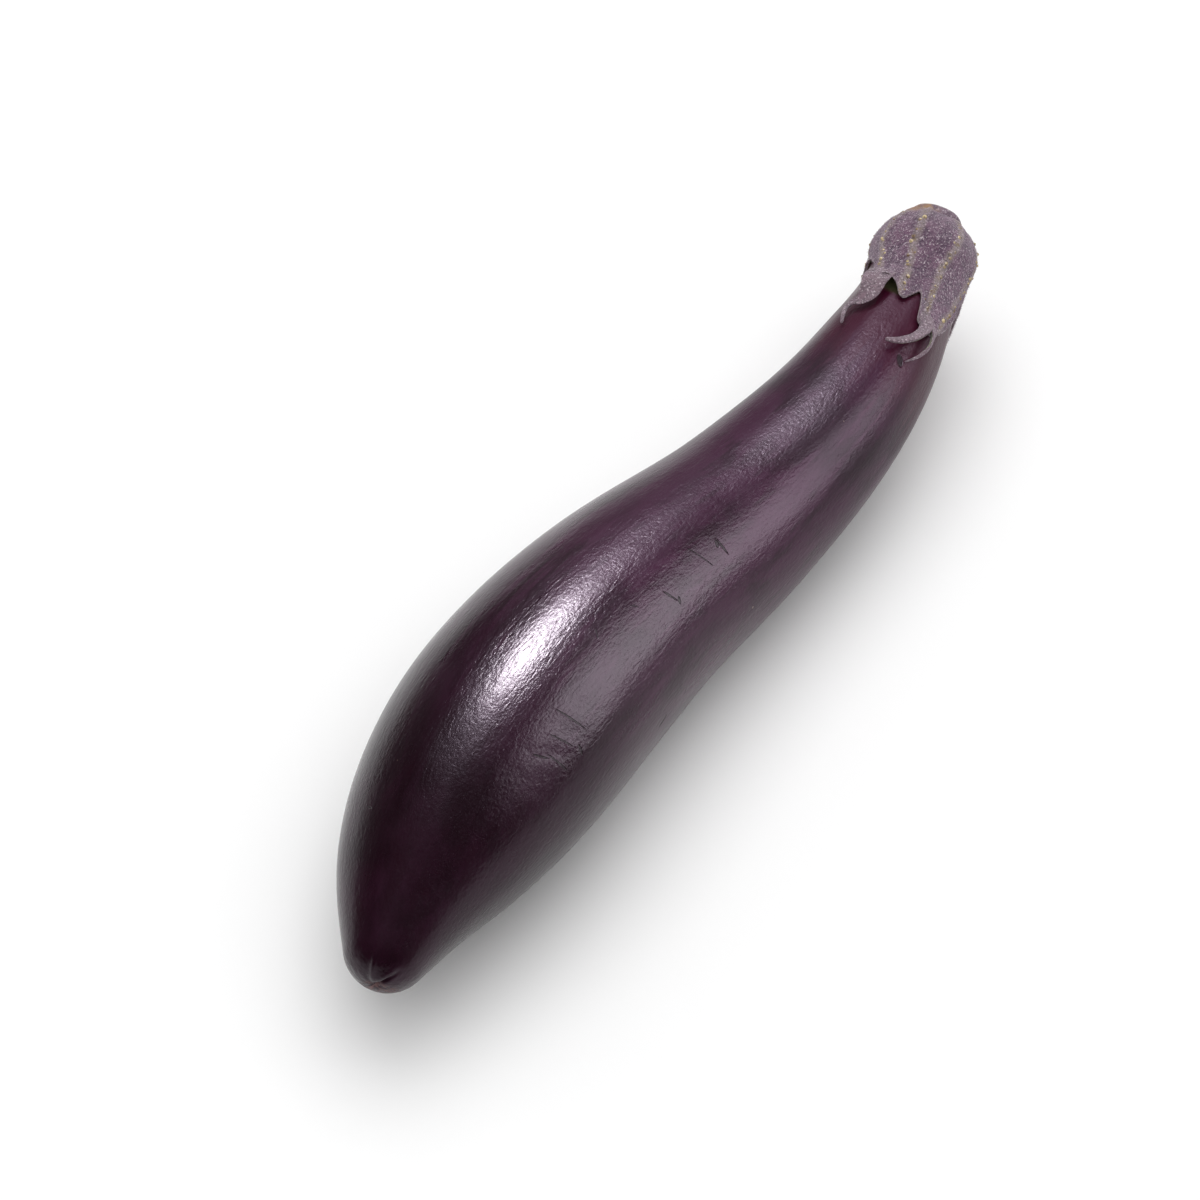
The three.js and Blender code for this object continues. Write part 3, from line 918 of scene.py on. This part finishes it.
# %% Prickles
rng = np.random.default_rng(11)
wart_places = []
for rib in RIBS:
    for row in np.arange(212, CUP_TOP - 0.5, 1.7):
        at = rib_angle(rib, row) + rng.normal(0, 2.2)
        s = row + rng.uniform(-0.8, 0.8)
        if margin_at(at) + 1.2 < s < CUP_TOP - 0.3:
            wart_places.append((s, at, rng.uniform(0.55, 1.15), rng.uniform(-0.9, 0.2)))
warts = stand_copies("eggplant_calyx_prickles", wart_places, 7, 0.52, 0.38)
print("prickles:", len(wart_places))

# %% [markdown]
# ## Hairs
# Fine pale hairs frost the whole calyx, and stand out best as a fringe along its margin. Each is a
# three-sided spike a fraction of a millimetre long. A few thousand of them cost little, as each
# one has only three faces.

# %% Hairs
hair_places = []
for _ in range(5200):
    degrees = rng.uniform(0, 360)
    edge = margin_at(degrees)
    s = edge + (CUP_TOP - edge) * rng.uniform(0.0, 1.0) ** 1.15
    hair_places.append((s, degrees, rng.uniform(0.5, 1.2), rng.uniform(-0.9, 0.5)))
for _ in range(2200):
    degrees = rng.uniform(0, 360)
    s = margin_at(degrees) + rng.uniform(0.0, 0.35)
    hair_places.append((s, degrees, rng.uniform(0.7, 1.5), rng.uniform(-2.6, -0.4)))
hairs = stand_copies("eggplant_calyx_hairs", hair_places, 3, 0.035, 0.34)
print("hairs:", len(hair_places))

# %% [markdown]
# ## Joining the calyx
# The cup and its curled tips are one grown piece, so they are joined into one object.

# %% Join
take(cup)
for tip in tips:
    tip.select_set(True)
bpy.ops.object.join()
print("calyx points:", len(cup.data.vertices))

# %% [markdown]
# ## The calyx's finish
# Close up, the calyx is dark purple under a frost of pale hairs, paler and greyer along the ribs,
# with a pinkish-grey rim at its margin and olive green underneath. The frost is far finer than any
# mesh, so it is a fine speckle in the colour, with a soft sheen that catches light at the edges.

# %% Calyx colour
DARK_FLESH, FLESH, RIB = (0.060, 0.018, 0.054, 1), (0.135, 0.052, 0.108, 1), (0.245, 0.190, 0.185, 1)
TAN, DRY, RIM = (0.200, 0.135, 0.060, 1), (0.270, 0.135, 0.045, 1), (0.38, 0.30, 0.31, 1)
FROST, FLECK, HOLLOW_SHADE = (0.345, 0.240, 0.305, 1), (0.60, 0.50, 0.55, 1), (0.030, 0.012, 0.030, 1)
DARK_OLIVE, OLIVE = (0.040, 0.042, 0.022, 1), (0.150, 0.150, 0.055, 1)


def dry_patch(tree, place, patches):
    """The patch beside the stem where the crown has dried."""
    away = distance_to(tree, place, over_skin(237.5, 116, 3.0))
    return times(tree, between(tree, away, 0.0055, 0.0018), between(tree, patches, 0.30, 0.55))


calyx_material, tree, shader = new_material("calyx_flesh")
place = own_place(tree)
rib, edge, under = (remembered(tree, name) for name in ("rib", "edge", "inside"))
patches = grain(tree, place, 3.4, 4.0, 0.6)
frost = grain(tree, place, 0.72, 4.0, 0.75)
flecks = grain(tree, place, 0.46, 2.0, 0.6)
colour = blend_colours(tree, between(tree, patches, 0.34, 0.66), DARK_FLESH, FLESH)
ribbed = times(tree, between(tree, rib, 0.12, 0.85), between(tree, patches, 0.25, 0.6, 0.55, 1.0))
colour = blend_colours(tree, times(tree, ribbed, 0.92), colour, RIB)
tanned = times(tree, between(tree, rib, 0.5, 0.95), between(tree, grain(tree, place, 2.0, 3.0), 0.48, 0.60))
colour = blend_colours(tree, times(tree, tanned, 0.8), colour, TAN)
print("calyx flesh nodes:", len(tree.nodes))

# %% [markdown]
# ### Frost, rim and olive underside
# The frost goes over the flesh in three layers of speckle: two pale, and one of painted shade in the
# hollows of the frost's bump. Then come the dry patch, the rim and the olive green of the underside,
# each covering what is below it.

# %% Calyx frost and rim
colour = blend_colours(tree, between(tree, frost, 0.52, 0.67, 0.0, 0.75), colour, FROST)
colour = blend_colours(tree, between(tree, flecks, 0.57, 0.68, 0.0, 0.85), colour, FLECK)
# Painted shade: the frost grain's low spots, which are the bump's hollows, are darkened.
colour = blend_colours(tree, between(tree, frost, 0.45, 0.34, 0.0, 0.85), colour, HOLLOW_SHADE)
colour = blend_colours(tree, dry_patch(tree, place, patches), colour, DRY)
colour = blend_colours(tree, times(tree, between(tree, edge, 0.35, 0.95), 0.5), colour, RIM)
green = blend_colours(tree, between(tree, patches, 0.35, 0.65), DARK_OLIVE, OLIVE)
colour = blend_colours(tree, between(tree, under, 0.45, 0.8), colour, green)
heights = stack(tree, (frost, 1.2), (patches, 1.5), (flecks, 0.8))
bump = node(tree, "ShaderNodeBump", Strength=1.0, Distance=0.00045, Height=heights).outputs[0]
dull = between(tree, frost, 0.3, 0.7, 0.72, 0.92)
dress(tree, shader, {
    "Base Color": colour, "Normal": bump, "Roughness": dull, "Specular IOR Level": 0.25,
    "Sheen Weight": 0.45, "Sheen Roughness": 0.45, "Sheen Tint": (0.86, 0.78, 0.86, 1),
})
cup.data.materials.clear()
cup.data.materials.append(calyx_material)
print("calyx nodes:", len(tree.nodes))

# %% [markdown]
# ## The finish of prickles and hairs
# The prickles are dry and tan, and the hairs are pale and pinkish. Each material drifts between two
# tones from place to place, as grown things do.

# %% Prickle and hair materials
def two_tones(name, size_mm, dark, light, roughness):
    material, tree, shader = new_material(name)
    tone = grain(tree, own_place(tree), size_mm, 2.0)
    colour = blend_colours(tree, between(tree, tone, 0.4, 0.62), dark, light)
    dress(tree, shader, {"Base Color": colour, "Roughness": roughness})
    return material


TAN_TONES = ((0.16, 0.09, 0.045, 1), (0.52, 0.40, 0.20, 1))
HAIR_TONES = ((0.30, 0.22, 0.28, 1), (0.62, 0.53, 0.58, 1))
warts.data.materials.append(two_tones("prickle", 2.2, *TAN_TONES, 0.6))
hairs.data.materials.append(two_tones("calyx_hair", 1.2, *HAIR_TONES, 0.7))
for piece in (warts, hairs):
    face_outwards(piece)
print("prickle and hair points:", len(warts.data.vertices), len(hairs.data.vertices))

# %% [markdown]
# ## The stem
# The stem is a short stub, cut off with a knife. It could stay a plain turned peg, but the cut is
# where a buyer looks for freshness: a hairy bark, a thin green ring, dry tan wood and a paler pith.
# A ring is extruded up from the crown, over the cut's worn edge and inwards across the face.

# %% Stem
STEM_ROUND, CUT, WIDEST = 48, LENGTH + 3.8, 6.45
STEM_ROWS = [
    (232.5, 3.0), (236.2, 5.5), (238.2, 5.95), (240.0, 6.25), (241.4, 6.40), (242.3, 6.32), (242.72, 6.0),
    (242.80, 5.5), (242.62, 5.1), (242.66, 4.5), (242.60, 3.4), (242.52, 2.2), (242.35, 1.6), (242.28, 0.8),
]
base, axis, across, above = frame_at(SHOULDER_AT)
stem, level, turn = make_sleeve("eggplant_stem", STEM_ROUND, len(STEM_ROWS), True)


def on_axis(s):
    return base + axis * (s - SHOULDER_AT)


def stem_point(row, degrees):
    s, r = STEM_ROWS[row]
    a = math.radians(degrees)
    out = across * math.cos(a) + above * math.sin(a)
    rough = noise.noise(Vector((s * 0.5, math.cos(a) * 2.2, math.sin(a) * 2.2)))
    fine = noise.noise(Vector((s * 1.4, math.cos(a) * 7, math.sin(a) * 7)))
    r = min(r * (1 + 0.03 * rough) + (0.10 * fine if r > 3 else 0.0), WIDEST)
    s = s + (0.12 * rough if row > 6 else 0.0)
    return (on_axis(min(s, CUT)) + out * r) * 0.001 - shift


for v, i, j in zip(stem.data.vertices, level, turn):
    v.co = stem_point(i, 360 * j / STEM_ROUND)
for n, row in ((len(level), 0), (len(level) + 1, -1)):
    stem.data.vertices[n].co = on_axis(STEM_ROWS[row][0]) * 0.001 - shift
rows = list(level) + [0, len(STEM_ROWS) - 1]
remember(stem, "face", [max(0.0, min(1.0, i - 6.5)) for i in rows], "FLOAT")
remember(stem, "middle", [STEM_ROWS[i][1] * 0.001 for i in rows], "FLOAT")
smooth_once(stem)
face_outwards(stem)
print("stem points:", len(stem.data.vertices))

# %% [markdown]
# ### Bark and cut face
# The bark has the calyx's frost, with painted shade in the hollows of its bump, and shares its dry
# patch. The cut face is told apart by what the points remember: whether they are on the face, and
# how far they are from its middle.

# %% Stem material
DARK_BARK, BARK, BARK_FROST, CREVICE_SHADE = (
    (0.080, 0.030, 0.066, 1), (0.160, 0.080, 0.130, 1), (0.40, 0.32, 0.37, 1), (0.035, 0.014, 0.033, 1)
)
DARK_WOOD, WOOD, PITH, GREEN_RING = (
    (0.30, 0.22, 0.12, 1), (0.50, 0.42, 0.27, 1), (0.58, 0.54, 0.42, 1), (0.150, 0.175, 0.070, 1)
)
stem_material, tree, shader = new_material("stem_bark")
place = own_place(tree)
face, radius = remembered(tree, "face"), remembered(tree, "middle")
patches = grain(tree, place, 3.0, 4.0, 0.6)
frost = grain(tree, place, 0.72, 4.0, 0.75)
bark = blend_colours(tree, between(tree, patches, 0.36, 0.64), DARK_BARK, BARK)
bark = blend_colours(tree, between(tree, frost, 0.50, 0.64, 0.0, 0.8), bark, BARK_FROST)
# Painted shade: the bark is darkened in the hollows of its frost bump.
bark = blend_colours(tree, between(tree, frost, 0.45, 0.34, 0.0, 0.8), bark, CREVICE_SHADE)
bark = blend_colours(tree, dry_patch(tree, place, patches), bark, DRY)
wood = blend_colours(tree, between(tree, grain(tree, place, 0.7, 4.0, 0.65), 0.35, 0.68), DARK_WOOD, WOOD)
wood = blend_colours(tree, between(tree, radius, 0.0021, 0.0016), wood, PITH)
ring = times(tree, between(tree, radius, 0.0044, 0.0050), between(tree, radius, 0.0056, 0.0052))
wood = blend_colours(tree, times(tree, ring, 0.8), wood, GREEN_RING)
colour = blend_colours(tree, between(tree, face, 0.2, 0.8), bark, wood)
heights = stack(tree, (frost, 1.2), (patches, 1.5))
bump = node(tree, "ShaderNodeBump", Strength=0.8, Distance=0.00022, Height=heights).outputs[0]
dress(tree, shader, {
    "Base Color": colour, "Normal": bump, "Roughness": 0.85, "Sheen Weight": 0.35, "Sheen Roughness": 0.45,
})
stem.data.materials.append(stem_material)
print("stem nodes:", len(tree.nodes))

# %% [markdown]
# ## Fixing the pieces to the solid model
# Each piece now stands in for the plain solid of the same name, which is hidden, and the prickles
# and hairs are fixed to the same body.

# %% Ride and replace
for piece, solid, slot in (
    (fruit, "fruit", "fruit_skin"),
    (cup, "calyx", "calyx_flesh"),
    (stem, "stem", "stem_bark"),
):
    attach(piece, "root")
    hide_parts(solid)
for piece in (warts, hairs):
    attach(piece, "root")

# %% [markdown]
# ## The floor
# The eggplant lies on a wide pale sheet that runs out of sight. It is a whisker lower than the
# fruit's flat, so that the two don't fight for the same place.

# %% Floor
FLOOR_SIZE, FLOOR_DROP = 12, 0.0002
clear_selection()
bpy.ops.mesh.primitive_plane_add(size=FLOOR_SIZE, location=(0, 0, -FLOOR_DROP))
floor = bpy.context.active_object
floor.name = "floor"
floor_material, tree, shader = new_material("pale_floor")
tone = grain(tree, own_place(tree), 400, 2.0)
colour = blend_colours(tree, tone, (0.90, 0.90, 0.90, 1), (0.93, 0.93, 0.93, 1))
dress(tree, shader, {"Base Color": colour, "Roughness": 0.9, "Specular IOR Level": 0.1})
floor.data.materials.append(floor_material)
print("floor, m across:", FLOOR_SIZE)

# %% [markdown]
# ## The camera
# The camera looks down on the fruit from beyond the blossom end with a long lens, so that the neck hardly
# shrinks with distance.

# %% Camera
AZIMUTH, ELEVATION, DISTANCE = math.radians(-57.46), math.radians(52.0), 0.790
LENS, SENSOR = 103.65, 36.0
look_at = Vector((0.00159, 0.01576, 0.0))
level_out = math.cos(ELEVATION)
back = Vector((math.sin(AZIMUTH) * level_out, -math.cos(AZIMUTH) * level_out, math.sin(ELEVATION)))
clear_selection()
bpy.ops.object.camera_add(location=look_at + back * DISTANCE)
camera = bpy.context.active_object
camera.rotation_euler = back.to_track_quat("Z", "Y").to_euler()
camera.data.lens = LENS
camera.data.sensor_width = SENSOR
camera.data.clip_start = 0.01
camera.data.dof.use_dof = False
bpy.context.scene.camera = camera
print("camera to eggplant, m:", DISTANCE)

# %% [markdown]
# ## The light
# A glossy skin shows its lights as shapes. A soft box high over the neck end makes the long white
# gleam on the belly, a tall dim panel beside the camera lays a mauve band along the flank, and
# the dark room behind the camera keeps the nose nearly black. A broad overhead light, kept out of
# the reflections, brightens the floor and softens the shadow.

# %% Lights
def soft_box(name, azimuth, elevation, distance, wide, tall, radiance, glossy=True, diffuse=True):
    """A soft light aimed at the eggplant: angles in degrees, sizes in metres."""
    a, e = math.radians(azimuth), math.radians(elevation)
    towards = Vector((math.cos(a) * math.cos(e), math.sin(a) * math.cos(e), math.sin(e)))
    clear_selection()
    bpy.ops.object.light_add(type="AREA", location=towards * distance + Vector((0, 0, 0.03)))
    lamp = bpy.context.active_object
    lamp.name = name
    lamp.rotation_euler = towards.to_track_quat("Z", "Y").to_euler()
    lamp.data.shape = "RECTANGLE"
    lamp.data.size, lamp.data.size_y = wide, tall
    lamp.data.energy = radiance * math.pi * wide * tall
    lamp.visible_camera = False
    lamp.visible_glossy = glossy
    lamp.visible_diffuse = diffuse
    print(name, "power, W:", round(lamp.data.energy, 1))


soft_box("key_box", 25, 64, 0.55, 0.18, 0.18, 105, diffuse=False)
soft_box("key_wash", 30, 66, 2.0, 1.8, 1.8, 1.1, glossy=False)
soft_box("side_panel", -54, 28, 1.6, 0.74, 1.1, 8.0, diffuse=False)
soft_box("far_panel", 25, 12, 2.2, 2.4, 1.2, 0.20)
soft_box("left_panel", 95, 15, 2.2, 1.8, 1.2, 0.15)
soft_box("overhead", 0, 90, 2.2, 3.4, 3.4, 1.08, glossy=False)

# %% [markdown]
# ## The room
# The air round the eggplant is an even pale grey to the camera and to the floor, but dark to the
# skin's reflections, like a studio with black cloth behind the camera. Otherwise a glossy dark
# skin would look grey all over.

# %% Room
SEEN, LIT, MIRRORED = (0.93, 0.93, 0.93, 1), (0.48, 0.48, 0.48, 1), (0.030, 0.027, 0.030, 1)
world = bpy.data.worlds.new("room")
bpy.context.scene.world = world
world.use_nodes = True
tree = world.node_tree
rays = node(tree, "ShaderNodeLightPath")
room = blend_colours(tree, rays.outputs["Is Glossy Ray"], LIT, MIRRORED)
room = blend_colours(tree, rays.outputs["Is Camera Ray"], room, SEEN)
tree.links.new(room, tree.nodes["Background"].inputs["Color"])
bpy.context.scene.view_settings.view_transform = "Standard"
bpy.context.scene.view_settings.look = "None"
print("room seen as grey:", SEEN[0])
